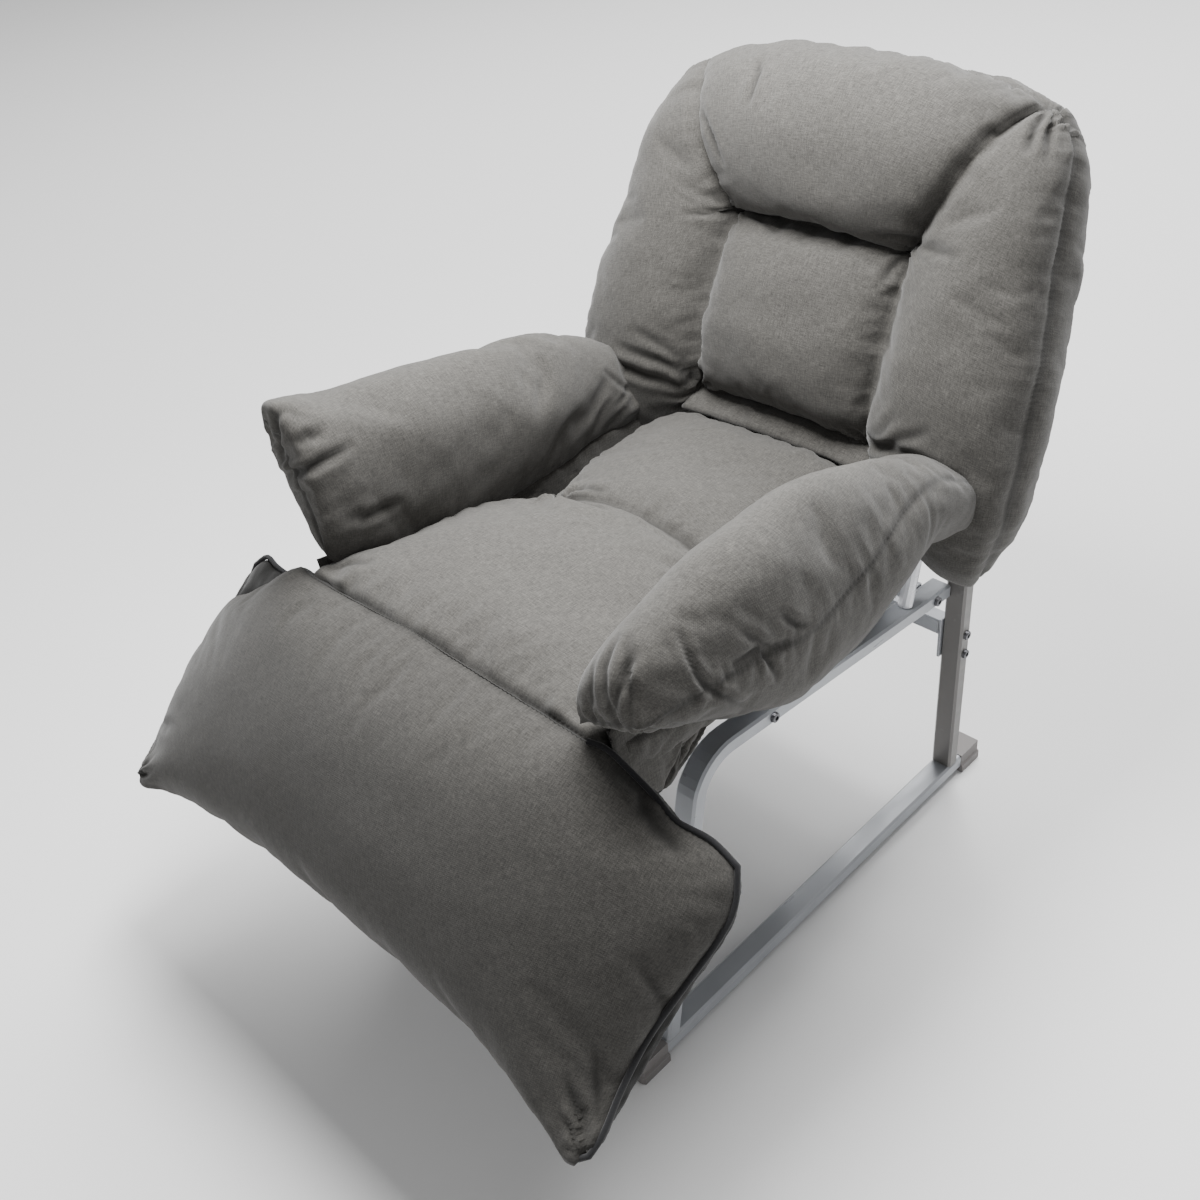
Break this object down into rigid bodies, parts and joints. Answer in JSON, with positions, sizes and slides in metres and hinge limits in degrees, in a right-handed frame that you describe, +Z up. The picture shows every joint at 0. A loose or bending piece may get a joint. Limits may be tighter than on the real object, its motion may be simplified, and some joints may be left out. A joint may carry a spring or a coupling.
{
  "type": "reclining lounge chair",
  "caption": "Padded lounge chair on a tubular steel sled base, with a reclining back, fixed padded arms and a hinged leg rest.",
  "frame": {"origin": "on the floor under the middle of the chair's bounding box", "axes": "+Z up, the sitter faces -Y, and +X is the sitter's left"},
  "size_m": [0.7982, 1.063, 0.9723],
  "materials": {
    "painted_steel": "satin grey powder coat",
    "silver_steel": "light silver paint",
    "dark_steel": "blackened",
    "zinc_steel": "zinc plated",
    "grey_plastic": "moulded, matte",
    "black_webbing": "woven",
    "grey_cloth": "brushed, matte, warm mid grey"
  },
  "bodies": {
    "base": {"base_rail_left": "painted_steel", "rear_upright_left": "painted_steel", "side_bow_left": "painted_steel", "crossbar_flange_left": "painted_steel", "foot_shoe_front_left": "grey_plastic", "foot_shoe_rear_left": "grey_plastic", "crossbar_bolt_upper_left": "dark_steel", "crossbar_bolt_lower_left": "dark_steel", "seat_bolt_front_left": "dark_steel", "seat_bolt_rear_left": "dark_steel", "seat_side_tube_left": "painted_steel", "arm_tube_left": "silver_steel", "arm_pad_left": "grey_cloth", "back_hinge_plate_left": "painted_steel", "back_hinge_pin_left": "zinc_steel", "back_hinge_spring_left": "zinc_steel", "leg_hinge_plate_left": "painted_steel", "leg_hinge_pin_left": "zinc_steel", "leg_hinge_spring_left": "zinc_steel", "base_rail_right": "painted_steel", "rear_upright_right": "painted_steel", "side_bow_right": "painted_steel", "crossbar_flange_right": "painted_steel", "foot_shoe_front_right": "grey_plastic", "foot_shoe_rear_right": "grey_plastic", "crossbar_bolt_upper_right": "dark_steel", "crossbar_bolt_lower_right": "dark_steel", "seat_bolt_front_right": "dark_steel", "seat_bolt_rear_right": "dark_steel", "seat_side_tube_right": "painted_steel", "arm_tube_right": "silver_steel", "arm_pad_right": "grey_cloth", "back_hinge_plate_right": "painted_steel", "back_hinge_pin_right": "zinc_steel", "back_hinge_spring_right": "zinc_steel", "leg_hinge_plate_right": "painted_steel", "leg_hinge_pin_right": "zinc_steel", "leg_hinge_spring_right": "zinc_steel", "rear_crossbar": "painted_steel", "seat_crossbar_front": "painted_steel", "seat_crossbar_rear": "painted_steel", "seat_sling": "black_webbing", "seat_cushion": "grey_cloth"},
    "backrest": {"back_hinge_gear_left": "dark_steel", "back_hinge_gear_right": "dark_steel", "back_frame": "painted_steel", "back_cross_tube": "painted_steel", "back_sling": "black_webbing", "back_cushion": "grey_cloth", "back_rear_cover": "grey_cloth"},
    "footrest": {"leg_hinge_gear_left": "dark_steel", "leg_hinge_gear_right": "dark_steel", "footrest_frame": "painted_steel", "footrest_cross_tube": "painted_steel", "footrest_cushion": "grey_cloth", "footrest_rear_cover": "grey_cloth"}
  },
  "joints": [
    {"name": "back_recline", "type": "hinge", "parent": "base", "child": "backrest", "pos_m": [0, 0.2992, 0.425], "axis": [-1, 0, 0], "range_deg": [-10, 60]},
    {"name": "footrest_lift", "type": "hinge", "parent": "base", "child": "footrest", "pos_m": [0, -0.3008, 0.432], "axis": [-1, 0, 0], "range_deg": [-30, 55]}
  ]
}
